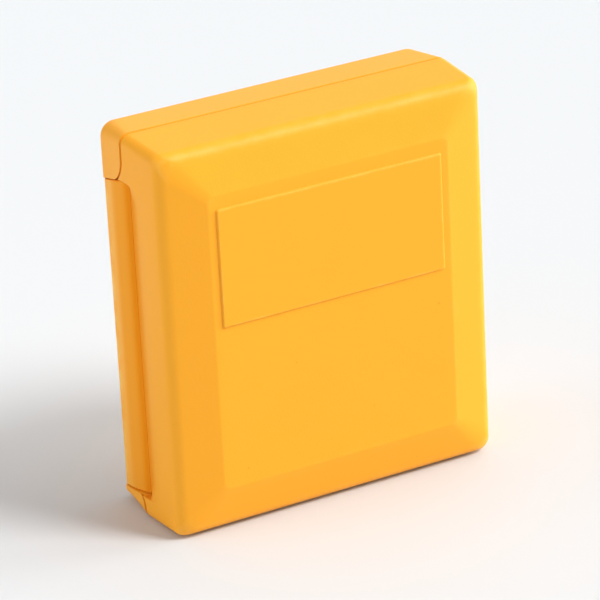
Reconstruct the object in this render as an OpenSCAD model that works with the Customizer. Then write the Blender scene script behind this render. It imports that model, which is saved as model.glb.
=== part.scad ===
// Pocket case for a set of plug-in tool blades: a shallow back shell and a deep bevelled
// front cover, joined down the left side by a strap that folds on two thin hinge lines.
// The case stands on its bottom edge. X is to the right, Y to the back and Z up.
// The origin is in the middle of the footprint, on the surface that the case stands on.

/* [Case] */
// Height of the closed case
case_h = 96; // [84:1:125]
// Width of the closed case
case_w = 85.6; // [76:0.5:115]
// Depth of the back shell, from its back to the parting line
shell_depth = 13.7; // [12.5:0.1:18]
// Depth of the front cover, from the parting line to its flat face
cover_depth = 18.8; // [16:0.1:28]
// Thickness of the moulded walls
wall = 2.2; // [1.8:0.1:2.8]
// Gap between the two rims when the case is shut
seam_gap = 0.3; // [0.3:0.05:0.5]

/* [Outside form] */
// Radius of the four corners at the rims, seen from the front
corner_r = 2.4; // [2.2:0.1:4]
// How far the cover's side walls lean in between its rim and its bevel
cover_draft = 0.7; // [0.2:0.1:1.2]
// How far the back shell's side walls lean in between its rim and its back
shell_draft = 1; // [0.4:0.1:1.5]
// How far the bevel reaches in from the side walls
bevel_run = 11; // [8:0.2:15]
// How far the bevel drops from the flat face to the side walls
bevel_drop = 2.8; // [2:0.1:5]
// Radius between side wall and bevel
edge_r = 3.3; // [2.4:0.1:4.5]
// Radius between bevel and flat face
face_r = 2.8; // [1:0.1:4]
// Radius round the back of the case
back_r = 2.8; // [2.4:0.1:4]

/* [Label panel] */
// Width of the raised panel on the front
panel_w = 58.4; // [40:0.2:61]
// Height of the raised panel
panel_h = 29; // [20:0.5:40]
// Height of the panel's middle above the bottom of the case
panel_z = 66.5; // [50:0.5:72]
// How far the panel stands out
panel_raise = 0.5; // [0.3:0.1:0.9]

/* [Hinge] */
// Lower end of the recess that holds the hinge strap
recess_z0 = 5; // [4.7:0.1:12]
// Distance from the recess's upper end to the top of the case
recess_top_gap = 11.4; // [8:0.5:20]
// Depth of the recess behind the side of the case
recess_depth = 2.4; // [2.3:0.1:2.8]
// Radius of the parting line where it turns back to the strap
turn_r = 3.8; // [2.5:0.1:4.2]
// Radius of the cover's edge beside the strap
cove_r = 6; // [5:0.5:8]
// How deep the strap's outside lies behind the side of the case
strap_sink = 0.15; // [0.05:0.05:0.3]
// Gap at each end of the strap
strap_end_gap = 0.35; // [0.25:0.05:0.6]
// Radius of the bead that stands for each thin hinge line
film_r = 0.25; // [0.2:0.01:0.3]
// Gap round each bead
film_gap = 0.05; // [0.03:0.01:0.08]

/* [Rim] */
// Height of the tongue that stands up from the back shell's rim
tongue_h = 1.6; // [1.2:0.1:2.2]
// Thickness of the cover's outer lip
lip_t = 1; // [0.8:0.05:1.2]
// Gap between the tongue and the lip
rim_gap = 0.25; // [0.25:0.05:0.35]
// Length of each snap bead
snap_len = 14; // [8:1:20]
// How far a snap bead stands out
snap_raise = 0.15; // [0.1:0.01:0.18]
// Length of the nail notch on the right side
notch_len = 16; // [10:1:24]
// Depth of the nail notch
notch_deep = 1.3; // [0.8:0.1:1.5]

/* [Blade rails] */
// Number of clips on a rail
clip_count = 6; // [3:1:6]
// Diameter of the blade barrels that the clips hold
barrel_d = 8.6; // [7:0.1:9]
// Spring thickness of a clip
clip_t = 1.3; // [1:0.1:1.6]
// Gap between neighbouring clips
clip_gap = 1; // [0.6:0.1:1.4]
// Width of a rail
rail_w = 6; // [5:0.5:8]
// Thickness of the rail's bar
bar_t = 2.2; // [1.8:0.1:2.6]
// Height of the lower rail above the bottom of the case
rail_z0 = 24; // [18:1:30]
// Distance from the lower rail to the upper one
rail_span = 44; // [36:1:50]
// Radius of the pegs that hold the rails
peg_r = 1.3; // [1:0.1:1.5]
// Height of the peg heads
peg_head = 0.8; // [0.5:0.1:1]
// Thickness of the ribs in the cover that hold the blades down
rib_t = 1.6; // [1.2:0.1:2.2]
// Distance from each rib to the rail beside it
rib_offset = 10; // [7:1:14]

/* [Hidden] */
$fn = 96;

amber = [0.98, 0.69, 0.15];
amber_strap = [0.94, 0.64, 0.14];
charcoal = [0.17, 0.17, 0.18];

past = 1;            // how far a cut runs past the surface that it opens
fit_gap = 0.05;      // radial gap round a peg
barrel_gap = 0.2;    // radial gap round a blade barrel
hold_gap = 0.4;      // gap between a blade and the ribs in the cover
arc_steps = 12;      // straight steps in each curve of the strap's outline

// Places are given as a distance in from the left side, or forward from the back.
case_d = shell_depth + cover_depth + panel_raise;
back_y = case_d / 2;
function from_left(e) = e - case_w / 2;
function from_back(u) = back_y - u;

shell_rim = shell_depth - seam_gap / 2;
cover_rim = shell_depth + seam_gap / 2;
face_u = shell_depth + cover_depth;
recess_z1 = case_h - recess_top_gap;
hinge_wall = recess_depth + 1.8;

// How much the walls lean, and where the side of the back shell lies at a given depth.
cover_slope = cover_draft / (cover_depth - bevel_drop);
shell_slope = shell_draft / shell_rim;
function shell_side(u) = shell_slope * (shell_rim - u);

// The middle of the round back edge, as [distance from the left side, from the back], and
// the two hinge lines in the same form.
back_mid = [shell_draft + back_r * tan((90 - atan(shell_slope)) / 2), back_r];
line_back = back_mid - (back_r - film_r - 0.1) * [cos(45), sin(45)];
line_front = [recess_depth - film_r - 0.1, cover_rim];

// ---- shared shapes --------------------------------------------------------------

module along_y(u0, u1) {
    translate([0, from_back(u0), 0]) rotate([90, 0, 0]) linear_extrude(u1 - u0) children();
}

module rounded_front(inset) {
    r = max(corner_r - inset, 0.2);
    w = case_w - 2 * inset;
    h = case_h - 2 * inset;
    translate([0, case_h / 2]) {
        square([w - 2 * r, h], center = true);
        square([w, h - 2 * r], center = true);
        for (sx = [-1, 1], sz = [-1, 1])
            translate([sx * (w / 2 - r), sz * (h / 2 - r)]) circle(r);
    }
}

// The corners of a form whose walls lean in from its open end, as cones that touch them.
module leaning_corners(inset, slope, u_open, length, forward) {
    over = slope * past;
    r = max(corner_r - inset, slope * length + 0.3) + over;
    w = case_w - 2 * inset + 2 * over;
    h = case_h - 2 * inset + 2 * over;
    translate([0, from_back(u_open), case_h / 2]) rotate([forward ? 90 : -90, 0, 0])
        translate([0, 0, -past]) {
            translate([0, 0, length / 2 + past / 2])
                cube([w - 2 * r, h, length + past], center = true);
            translate([0, 0, length / 2 + past / 2])
                cube([w, h - 2 * r, length + past], center = true);
            for (sx = [-1, 1], sz = [-1, 1])
                translate([sx * (w / 2 - r), sz * (h / 2 - r), 0])
                    cylinder(h = length + past, r1 = r, r2 = r - slope * (length + past));
        }
}

// Section through the cover, open at the back, with a bevel down each side of a flat face.
module bevelled_section(half, y_open, y_face, run, drop, edge, face) {
    lean = atan2(run, drop);
    wall_lean = atan(cover_slope);
    edge_t = edge * tan((lean - wall_lean) / 2);
    face_t = face * tan((90 - lean) / 2);
    edge_y = y_face + drop;
    y_rim = from_back(cover_rim);
    open_x = half + cover_slope * (y_open - y_rim);
    edge_x = half - cover_slope * (y_rim - edge_y);
    wall_end = [edge_x + edge_t * sin(wall_lean), edge_y + edge_t * cos(wall_lean)];
    side = [
        [open_x, y_open],
        wall_end,
        [edge_x - edge_t * sin(lean), edge_y - edge_t * cos(lean)],
        [edge_x - run + face_t * sin(lean), y_face + face_t * cos(lean)],
        [edge_x - run - face_t, y_face]
    ];
    edge_mid = wall_end + edge * [-cos(wall_lean), sin(wall_lean)];
    polygon(concat(side, [for (i = [len(side) - 1 : -1 : 0]) [-side[i][0], side[i][1]]]));
    for (s = [-1, 1]) {
        translate([s * edge_mid[0], edge_mid[1]]) circle(edge);
        translate([s * (edge_x - run - face_t), y_face + face]) circle(face);
    }
}

// Section through the back shell, open at the front, with its two back edges rounded.
module pan_section(half, y_open, y_floor, r) {
    lean = atan(shell_slope);
    t = r * tan((90 - lean) / 2);
    y_rim = from_back(shell_rim);
    open_x = half + shell_slope * (y_rim - y_open);
    floor_x = half - shell_slope * (y_floor - y_rim);
    side = [
        [open_x, y_open],
        [floor_x + t * sin(lean), y_floor - t * cos(lean)],
        [floor_x - t, y_floor]
    ];
    polygon(concat(side, [for (i = [len(side) - 1 : -1 : 0]) [-side[i][0], side[i][1]]]));
    for (s = [-1, 1]) translate([s * (floor_x - t), y_floor - r]) circle(r);
}

// The cover's outside, or its hollow when it is inset by the wall. It starts at the rim, or
// the given distance before it.
module cover_form(inset, before) {
    lean = atan2(bevel_run, bevel_drop);
    run = bevel_run - inset * (1 - cos(lean) / (1 + sin(lean)));
    drop = bevel_drop + inset * (tan(lean / 2) - 1);
    y_open = from_back(cover_rim - before);
    y_face = from_back(face_u - inset);
    edge = edge_r - inset;
    face = max(face_r - inset, 0.4);
    intersection() {
        leaning_corners(inset, cover_slope, cover_rim, face_u - inset - cover_rim, true);
        linear_extrude(case_h)
            bevelled_section(case_w / 2 - inset, y_open, y_face, run, drop, edge, face);
        translate([0, 0, case_h / 2]) rotate([0, -90, 0]) linear_extrude(case_w, center = true)
            bevelled_section(case_h / 2 - inset, y_open, y_face, run, drop, edge, face);
    }
}

// The back shell's outside, or its hollow when it is inset by the wall. It ends at the rim,
// or the given distance past it.
module shell_form(inset, beyond) {
    r = back_r - inset;
    y_open = from_back(shell_rim + beyond);
    y_floor = from_back(inset);
    intersection() {
        leaning_corners(inset, shell_slope, shell_rim, shell_rim - inset, false);
        linear_extrude(case_h) pan_section(case_w / 2 - inset, y_open, y_floor, r);
        translate([0, 0, case_h / 2]) rotate([0, -90, 0]) linear_extrude(case_w, center = true)
            pan_section(case_h / 2 - inset, y_open, y_floor, r);
    }
}

// A block in the left wall, from e0 to e1 in from the side and u0 to u1 from the back.
module left_block(e0, e1, u0, u1, z0, z1) {
    translate([from_left(e0), from_back(u1), z0]) cube([e1 - e0, u1 - u0, z1 - z0]);
}

// The place between the rims where the parting line turns back to the strap's end, seen
// from the left. gap is 0 for the cut in the shell, and the seam for the cover's tooth.
module turned_corner(gap, u_far) {
    u_mid = shell_rim - turn_r;
    difference() {
        translate([-u_far, -past]) square([u_far - u_mid, turn_r + past]);
        translate([-u_mid, turn_r]) circle(turn_r + gap);
    }
}

module both_turns(e0, e1, gap, low, u_far) {
    for (top = [0, 1])
        translate([0, 0, top ? recess_z1 : recess_z0]) mirror([0, 0, 1 - top])
            translate([from_left(e0), back_y, 0]) rotate([90, 0, 90]) linear_extrude(e1 - e0)
                intersection() {
                    turned_corner(gap, u_far);
                    translate([-u_far, low]) square([u_far, turn_r - low]);
                }
}

function arc(c, r, a0, a1) =
    [for (i = [0 : arc_steps]) let (a = a0 + (a1 - a0) * i / arc_steps)
        [c[0] - r * cos(a), c[1] + r * sin(a)]];

// ---- blade positions ------------------------------------------------------------

clip_r = barrel_d / 2 + barrel_gap;
clip_out_r = clip_r + clip_t;
clip_pitch = 2 * clip_out_r + clip_gap;
hollow_mid_x = (hinge_wall - wall) / 2;
barrel_u = wall + bar_t + clip_out_r - 0.8;
clip_top_u = barrel_u + 0.75 * clip_r;
rail_len = (clip_count - 1) * clip_pitch + 2 * clip_out_r + 1;
throat_half = 0.87 * clip_r;
function clip_x(i) = hollow_mid_x + (i - (clip_count - 1) / 2) * clip_pitch;
peg_xs = [clip_x(0) + clip_pitch / 2, clip_x(clip_count - 1) - clip_pitch / 2];
rail_z1 = rail_z0 + rail_span;

// ---- back shell -----------------------------------------------------------------

module tongue() {
    difference() {
        along_y(shell_rim - past, shell_rim + tongue_h) difference() {
            rounded_front(lip_t + rim_gap);
            rounded_front(wall);
        }
        left_block(-past, 3 * wall, 0, case_d, -past, case_h + past);
    }
    for (top = [0, 1])
        translate([case_w / 4, from_back(shell_rim + tongue_h / 2), 0])
            snap_bead(top, snap_raise, snap_raise + 0.45);
}

// A round bead along X on the tongue, near the opening edge.
module snap_bead(top, raise, r) {
    face = lip_t + rim_gap;
    z = top ? case_h - face - r + raise : face + r - raise;
    translate([0, 0, z]) rotate([0, 90, 0]) cylinder(h = snap_len, r = r, center = true);
}

// The recess for the strap, up to the line that the strap hinges on.
module strap_recess() {
    h = recess_z1 - recess_z0;
    left_block(-past, line_back[0], -past, face_u, recess_z0, recess_z1);
    left_block(-past, recess_depth, line_back[1] + 0.15, face_u, recess_z0, recess_z1);
    translate([from_left(line_back[0]), from_back(line_back[1]), recess_z0])
        cylinder(h = h, r = film_r + film_gap);
}

module pegs() {
    for (x = peg_xs, z = [rail_z0, rail_z1])
        translate([x, from_back(wall - 0.5), z]) rotate([90, 0, 0]) {
            cylinder(h = bar_t + 0.5, r = peg_r);
            translate([0, 0, bar_t + 0.5]) cylinder(h = peg_head, r1 = peg_r + 0.6, r2 = peg_r);
        }
}

module back_shell() {
    // The thick wall behind the recess, down to the case's own wall where little is left.
    thick_z0 = recess_z0 > 3 * wall ? recess_z0 - wall : 0;
    color(amber) difference() {
        union() {
            difference() {
                shell_form(0, 0);
                shell_form(wall, past);
            }
            intersection() {
                shell_form(0, 0);
                left_block(0, hinge_wall, 0, shell_rim, thick_z0, recess_z1 + wall);
            }
            tongue();
            pegs();
        }
        strap_recess();
        both_turns(-past, wall + seam_gap, 0, -past, shell_depth + past);
    }
}

// ---- front cover ----------------------------------------------------------------

// The outer part of the left edge that is rounded away beside the strap.
module cove() {
    mid_u = cover_rim + sqrt(pow(cove_r, 2) - pow(cove_r - line_front[0], 2));
    translate([0, 0, recess_z0]) linear_extrude(recess_z1 - recess_z0) difference() {
        translate([from_left(-past), from_back(mid_u)])
            square([past + line_front[0], mid_u - cover_rim + past]);
        translate([from_left(cove_r), from_back(mid_u)]) circle(cove_r);
    }
}

// The step inside the cover's rim that takes the tongue.
module rebate() {
    difference() {
        along_y(cover_rim - past, shell_rim + tongue_h + 0.2) difference() {
            rounded_front(lip_t);
            rounded_front(wall + past);
        }
        left_block(-past, 3 * wall - seam_gap, 0, case_d, -past, case_h + past);
    }
    for (top = [0, 1])
        translate([case_w / 4, from_back(shell_rim + tongue_h / 2), 0])
            snap_bead(top, snap_raise + rim_gap - 0.1, snap_raise + 0.55);
}

module nail_notch() {
    r = (pow(notch_len / 2, 2) + pow(notch_deep, 2)) / (2 * notch_deep);
    translate([case_w / 2 - lip_t - rim_gap, from_back(cover_rim + notch_deep - r), case_h / 2])
        rotate([0, 90, 0]) cylinder(h = lip_t + rim_gap + past, r = r);
}

// Two ribs across the cover, scalloped round the barrels of the stored blades.
module hold_down_ribs() {
    half = (clip_count - 1) / 2 * clip_pitch;
    for (z = [rail_z0 + rib_offset, rail_z1 - rib_offset])
        intersection() {
            cover_form(wall / 2, past);
            difference() {
                translate([hollow_mid_x - half, from_back(face_u - wall / 2), z - rib_t / 2])
                    cube([2 * half, face_u - wall / 2 - clip_top_u, rib_t]);
                for (i = [0 : clip_count - 1])
                    translate([clip_x(i), from_back(barrel_u), z])
                        cylinder(h = rib_t + past, r = barrel_d / 2 + hold_gap, center = true);
            }
        }
}

module label_panel() {
    translate([-panel_w / 2, -case_d / 2, panel_z - panel_h / 2])
        cube([panel_w, panel_raise + wall / 2, panel_h]);
}

module front_cover() {
    jog_u = cover_rim + cove_r;
    color(amber) difference() {
        union() {
            difference() {
                cover_form(0, 0);
                cover_form(wall, past);
            }
            left_block(wall / 2, hinge_wall, cover_rim, jog_u, recess_z0, recess_z1);
            intersection() {
                along_y(0, face_u) rounded_front(0);
                shell_form(0, past);
                both_turns(0, wall, seam_gap, 0, cover_rim + 0.01);
            }
            hold_down_ribs();
            label_panel();
        }
        cove();
        rebate();
        nail_notch();
        translate([from_left(line_front[0]), from_back(line_front[1]), recess_z0])
            cylinder(h = recess_z1 - recess_z0, r = film_r + film_gap);
    }
}

// ---- hinge strap ----------------------------------------------------------------

// The strap's outline from above: rounded over the back edge of the case, flat along its
// side and curved in to the groove beside the cover.
module strap_outline() {
    flat_u = shell_depth / 2 - 0.2;
    flat_e = shell_side(flat_u) + strap_sink;
    back_arc_r = back_r - strap_sink;
    start = asin((back_r - line_back[1] - 0.05) / back_arc_r);
    end_u = cover_rim - 0.4;
    end_e = line_front[0] - 0.25;
    bow = (pow(end_u - flat_u, 2) + pow(end_e - flat_e, 2)) / (2 * (end_e - flat_e));
    outside = concat(
        arc(back_mid, back_arc_r, -start, 0),
        arc([flat_e + bow, flat_u], bow, 0, asin((end_u - flat_u) / bow))
    );
    inside = [
        [line_front[0] - film_r / 2, line_front[1]],
        [line_front[0] + film_r / 2, line_front[1]],
        [recess_depth - 0.2, end_u - 0.2],
        [min(line_back[0] + 0.45, recess_depth - 0.2), line_back[1] + 0.9],
        [line_back[0] + film_r / 2, line_back[1] + 0.1],
        [line_back[0], line_back[1] - 0.05]
    ];
    polygon([for (p = concat(outside, inside)) [from_left(p[0]), from_back(p[1])]]);
    for (line = [line_back, line_front])
        translate([from_left(line[0]), from_back(line[1])]) circle(film_r);
}

module hinge_strap() {
    color(amber_strap) translate([0, 0, recess_z0 + strap_end_gap])
        linear_extrude(recess_z1 - recess_z0 - 2 * strap_end_gap) strap_outline();
}

// ---- blade rails ----------------------------------------------------------------

// One spring clip, seen from above, with its mouth towards the front.
module clip_outline() {
    top = clip_top_u - barrel_u;
    difference() {
        intersection() {
            circle(clip_out_r);
            translate([-clip_out_r, -top]) square([2 * clip_out_r, top + clip_out_r]);
        }
        circle(clip_r);
        polygon([
            [-throat_half, 0], [throat_half, 0], [throat_half, -top / 2],
            [clip_out_r - 0.5, -top - past], [0.5 - clip_out_r, -top - past], [-throat_half, -top / 2]
        ]);
    }
}

module blade_rail(z) {
    color(charcoal) difference() {
        translate([0, 0, z - rail_w / 2]) linear_extrude(rail_w) {
            translate([hollow_mid_x - rail_len / 2, from_back(wall + bar_t)])
                square([rail_len, bar_t]);
            for (i = [0 : clip_count - 1])
                translate([clip_x(i), from_back(barrel_u)]) clip_outline();
        }
        for (x = peg_xs)
            translate([x, from_back(wall - past), z]) rotate([90, 0, 0])
                cylinder(h = bar_t + 2 * past, r = peg_r + fit_gap);
    }
}

module blade_rail_lower() { blade_rail(rail_z0); }
module blade_rail_upper() { blade_rail(rail_z1); }

back_shell();
front_cover();
hinge_strap();
blade_rail_lower();
blade_rail_upper();
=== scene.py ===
import math

import bmesh
import bpy
from mathutils import Matrix, Vector


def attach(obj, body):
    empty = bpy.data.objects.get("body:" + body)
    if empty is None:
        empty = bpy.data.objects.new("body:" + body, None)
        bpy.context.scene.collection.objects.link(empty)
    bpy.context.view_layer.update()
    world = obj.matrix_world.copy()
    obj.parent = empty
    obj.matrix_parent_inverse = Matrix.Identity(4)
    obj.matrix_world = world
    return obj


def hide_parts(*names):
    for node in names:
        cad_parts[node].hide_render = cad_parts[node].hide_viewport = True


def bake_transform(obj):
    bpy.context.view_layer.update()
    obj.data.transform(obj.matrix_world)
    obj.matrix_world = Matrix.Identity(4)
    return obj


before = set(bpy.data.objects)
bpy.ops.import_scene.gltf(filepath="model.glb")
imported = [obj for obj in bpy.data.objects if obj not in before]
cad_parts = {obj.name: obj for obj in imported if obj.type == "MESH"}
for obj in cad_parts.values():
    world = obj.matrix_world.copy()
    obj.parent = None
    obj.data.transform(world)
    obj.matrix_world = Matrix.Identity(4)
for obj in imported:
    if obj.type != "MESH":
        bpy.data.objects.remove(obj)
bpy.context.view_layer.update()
print("frame loaded:", ", ".join(sorted(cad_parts)))

mm = 0.001
tau = 2 * math.pi
rightAngle = math.pi / 2

# All sizes below are millimetres. A place in the case is an inset from its side and a
# distance forward from its back.
caseForm = {
    "width": 85.6,
    "height": 96.0,
    "backY": 16.5,
    "wall": 2.2,
    "shellRim": 13.55,
    "coverRim": 13.85,
    "coverFace": 32.5,
    "rimCorner": 2.4,      # corner radius at the rims and down the cover's wall
    "leastCorner": 0.3,
    "middle": 26.0,        # inset of the last ring before a flat is closed
    "shellLean": 1 / 13.55,
    "coverLean": 0.7 / 16,
}
halfWidth = caseForm["width"] / 2
recessForm = {
    "low": 5.0,
    "high": 84.6,
    "floor": 2.4,          # inset of the strap recess
    "reach": 2.5,          # inset within which the parting line turns back
    "thickWall": 4.2,
    "thickTop": 86.8,
    "turnHigh": 5.2,       # radius of the parting line where it turns back, over the strap
    "turnLow": 2.6,        # and under it
    "soften": 0.28,        # how far the recess ends are rounded off
}
# places along the outline where it is cut, besides the ends of its sides
stopForm = {
    "cornerSteps": 12,
    "turnSteps": 11,
    "leastGap": 0.015,
    "lowestTurn": 2.45,
    "leftTop": (92.6, 91.2, 89.8),
    "thickEnd": (0.12, 0.04, -0.04, -0.12),
    "recessEnd": (0.04, 0.12, 0.2, 0.28),
    "bottomLeft": (-39.0, -37.2, -36.6, -36.4, -36.2, -36.0, -35.6, -33, -28, -22, -14, -6, 2, 8, 12),
    "bead": (13.6, 14.0, 14.4, 15.0, 21.4, 27.8, 28.4, 28.8, 29.2),
    "bottomRight": (33, 36.5, 39.4),
    "rightLow": (6, 12, 20, 30, 38),
    "rightHigh": (58, 66, 76, 84, 90),
    "keptSide": 43.32,     # half length that stays in place where a ring is smaller
    "keptEnd": 37.4,
}


def smooth(x):
    x = min(max(x, 0.0), 1.0)
    return x * x * (3 - 2 * x)


def between(a, b, t):
    return a + (b - a) * t


def mix(a, b, t):
    return tuple(between(x, y, t) for x, y in zip(a, b))


def spread(start, end, count):
    return [start + (end - start) * i / count for i in range(count + 1)]


# a point from x, the distance forward from the back, and z
def point(x, u, z):
    return Vector((x * mm, (caseForm["backY"] - u) * mm, z * mm))


def place(inset, u, z):
    return point(inset - halfWidth, u, z)


def linked(piece):
    bpy.context.scene.collection.objects.link(piece)
    return piece


# z values close together round the two turned corners of the parting line
def turnStops(gap):
    found = []
    for turn in (recessForm["turnHigh"], recessForm["turnLow"]):
        reach = turn + gap
        angles = spread(0, rightAngle - math.acos(turn / reach), stopForm["turnSteps"])
        found.append([turn - reach * math.sin(a) for a in angles])
    high = [recessForm["high"] + rise for rise in found[0]]
    low = [recessForm["low"] - rise for rise in found[1]]
    return high, [z for z in low if z > stopForm["lowestTurn"]]


# where the outline is cut: left side downwards, then round by the bottom to the top
def outlineStops(gap):
    f, r, height = stopForm, caseForm["rimCorner"], caseForm["height"]
    high, low = turnStops(gap)
    left = [height - r, *f["leftTop"], *high, *(recessForm["thickTop"] + d for d in f["thickEnd"]),
            *(recessForm["high"] - d for d in f["recessEnd"]), *spread(80, 10, 10),
            *(recessForm["low"] + d for d in f["recessEnd"]), *low, r]
    clean = []
    for z in sorted({round(z, 4) for z in left}, reverse=True):
        if not clean or clean[-1] - z > f["leastGap"]:
            clean.append(z)
    bottom = [r - halfWidth, *f["bottomLeft"], *f["bead"], *f["bottomRight"], halfWidth - r]
    notch = [height / 2 + coverForm["notchLength"] / 2 * math.sin(a)
             for a in spread(-rightAngle, rightAngle, 16)]
    right = [r, *f["rightLow"], *notch, *f["rightHigh"], height - r]

    def corner(sideX, sideZ, start):
        steps = f["cornerSteps"]
        return [("corner", sideX, sideZ, start + rightAngle * i / steps) for i in range(1, steps)]

    stops = [("left", z) for z in clean] + corner(-1, -1, math.pi)
    stops += [("bottom", x) for x in bottom] + corner(1, -1, 3 * rightAngle)
    stops += [("right", z) for z in right] + corner(1, 1, 0.0)
    return stops + [("top", x) for x in reversed(bottom)] + corner(-1, 1, rightAngle)


def lowLeftCorner(stop):
    return stop[0] == "corner" and stop[1] < 0 and stop[2] < 0


# v on a side whose ends lie at low and high on this ring, and at lowEnd and highEnd on the rim
def slid(v, low, high, lowEnd, highEnd, keep):
    middle = (lowEnd + highEnd) / 2
    if high > middle + keep and low < middle - keep:
        top, foot = middle + keep, middle - keep
        if v > top:
            return top + (v - top) * (high - top) / (highEnd - top)
        if v < foot:
            return foot + (v - foot) * (low - foot) / (lowEnd - foot)
        return v
    end, rimEnd = (high, highEnd) if v > middle else (low, lowEnd)
    return middle + (v - middle) * (end - middle) / (rimEnd - middle)


# one vertex: ring gives the nominal inset and the corner radius, inset and u its own place
def outlinePoint(stop, ring, inset, u, leftInset=None):
    w, h, rim = halfWidth, caseForm["height"], caseForm["rimCorner"]
    base, r = ring
    leftBase = base if leftInset is None else leftInset
    xLow, xHigh = -w + leftBase + r, w - base - r
    zLow, zHigh = base + r, h - base - r
    kind = stop[0]
    if kind == "corner":
        across, along = math.cos(stop[3]), math.sin(stop[3])
        x = (xLow if stop[1] < 0 else xHigh) + (r - inset + base) * across
        z = (zLow if stop[2] < 0 else zHigh) + (r - inset + base) * along
    elif kind in ("left", "right"):
        x = inset - w if kind == "left" else w - inset
        z = slid(stop[1], zLow, zHigh, rim, h - rim, stopForm["keptSide"])
    else:
        x = slid(stop[1], xLow, xHigh, rim - w, w - rim, stopForm["keptEnd"])
        z = inset if kind == "bottom" else h - inset
    return point(x, u, z)


# one ring: at(stop) gives what outlinePoint needs, and then the wear and painted light value (positive for
# rubbed edges and painted sheen, negative for painted shade)
def ringOf(stops, at):
    rows = [at(stop) for stop in stops]
    return [outlinePoint(stop, *row[:-1]) for stop, row in zip(stops, rows)], [row[-1] for row in rows]


# a closed skin through the rings; each ring is (points, wear and painted light values)
def addSkin(bm, rings):
    wearAndPaintedLight = bm.verts.layers.float.get("wearAndPaintedLight") or bm.verts.layers.float.new("wearAndPaintedLight")
    rows = []
    for points, wearAndLight in rings:
        rows.append([bm.verts.new(p) for p in points])
        for v, amount in zip(rows[-1], wearAndLight):
            v[wearAndPaintedLight] = amount
    for a, b in zip(rows, rows[1:]):
        for i in range(len(a)):
            j = (i + 1) % len(a)
            bm.faces.new((a[i], a[j], b[j], b[i]))
    bm.faces.new(list(reversed(rows[0])))
    bm.faces.new(rows[-1])


def meshFrom(bm, name):
    mesh = bpy.data.meshes.new(name)
    bm.to_mesh(mesh)
    bm.free()
    return mesh


def loftedMesh(name, rings):
    bm = bmesh.new()
    addSkin(bm, rings)
    bmesh.ops.remove_doubles(bm, verts=bm.verts, dist=2e-6)
    bmesh.ops.dissolve_degenerate(bm, dist=1e-6, edges=bm.edges)
    bmesh.ops.recalc_face_normals(bm, faces=bm.faces)
    return meshFrom(bm, name)


sweepForm = {
    "middle": 9.75,        # depth at which the sloping ends keep their height
    "highSlope": 0.28,
    "highDrop": 2.5,       # how much further forward the upper end keeps its height
    "lowSlope": 0.20,
    "lowMost": 2.0,        # the lower end stops sloping this far ahead of the middle
    "coverFrom": 14,       # depth from which the slope fades out in the cover
}


# the two ends of the hinge recess slope down towards the back of the case
def sweptEnds(mesh):
    f = sweepForm
    for v in mesh.vertices:
        inset, u, z = v.co.x / mm + halfWidth, caseForm["backY"] - v.co.y / mm, v.co.z / mm
        nearSide = 1 - smooth((inset - 2.7) / 1.3)
        ahead = u - f["middle"]
        if u > f["coverFrom"]:
            ahead = (f["coverFrom"] - f["middle"]) * (1 - smooth((u - f["coverFrom"]) / 8))
        top = smooth((z - 71) / 9) * (1 - smooth((z - 87.5) / 5.5)) * f["highSlope"]
        bottom = smooth((z - 0.6) / 4) * (1 - smooth((z - 7.5) / 7)) * f["lowSlope"]
        rise = (ahead - f["highDrop"]) * top + min(ahead, f["lowMost"]) * bottom
        v.co.z += nearSide * rise * mm
    return mesh


# sets the sockets of a node, with a link where the value comes from another node
def feed(tree, node, inputs):
    for key, value in inputs.items():
        if hasattr(value, "is_output"):
            tree.links.new(value, node.inputs[key])
        else:
            node.inputs[key].default_value = value
    return node


def newNode(tree, kind, inputs, **settings):
    node = tree.nodes.new(kind)
    for key, value in settings.items():
        setattr(node, key, value)
    return feed(tree, node, inputs)


def mathNode(tree, operation, *values, clamp=False):
    sockets = dict(enumerate(values))
    return newNode(tree, "ShaderNodeMath", sockets, operation=operation, use_clamp=clamp).outputs[0]


def noiseNode(tree, vector, scale, detail=2.0, rough=0.5, distort=0.0):
    return newNode(tree, "ShaderNodeTexNoise", {
        "Vector": vector, "Scale": scale, "Detail": detail, "Roughness": rough,
        "Distortion": distort}).outputs["Fac"]


def newTree(name, family, inputs, outputs):
    tree = bpy.data.node_groups.new(name, family + "NodeTree")
    for label, kind, value in inputs:
        socket = tree.interface.new_socket(name=label, in_out="INPUT", socket_type="NodeSocket" + kind)
        if value is not None:
            socket.default_value = value
    for label, kind in outputs:
        tree.interface.new_socket(name=label, in_out="OUTPUT", socket_type="NodeSocket" + kind)
    return tree, tree.nodes.new("NodeGroupInput").outputs, tree.nodes.new("NodeGroupOutput")


# noise scales are in cycles for each metre
surfaceForm = {
    "waveScale": 55.0,
    "glossSwing": 0.22,
    "patchScale": 240.0,
    "patchFrom": 0.38,
    "patchTo": 0.68,
    "mottleScale": 42.0,
    "speckScale": 210.0,
    "speckSize": 0.055,
    "speckSpread": 130.0,
    "speckShare": 0.57,
    "polish": 0.14,        # how much less rough a rubbed edge is
    "dulling": 0.4,        # how much rougher a groove is
    "bumpDepth": 0.0002,
    "ior": 1.46,
}


# the fine spark-eroded texture of a moulded face, with slow waves from shrinkage
def buildMouldGrain():
    tree, given, sink = newTree("mouldGrain", "Shader", [
        ("Vector", "Vector", None), ("Grain size", "Float", 2600.0), ("Grain depth", "Float", 1.0),
        ("Wave depth", "Float", 1.0)], [("Height", "Float"), ("Gloss shift", "Float")])
    fine = noiseNode(tree, given["Vector"], given["Grain size"], 3.0, 0.62)
    waves = noiseNode(tree, given["Vector"], surfaceForm["waveScale"], 1.5)
    height = mathNode(tree, "ADD", mathNode(tree, "MULTIPLY", fine, given["Grain depth"]),
                      mathNode(tree, "MULTIPLY", waves, given["Wave depth"]))
    centred = mathNode(tree, "SUBTRACT", fine, 0.5)
    shift = mathNode(tree, "MULTIPLY", centred, surfaceForm["glossSwing"])
    feed(tree, sink, {"Height": height, "Gloss shift": shift})
    return tree
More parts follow.
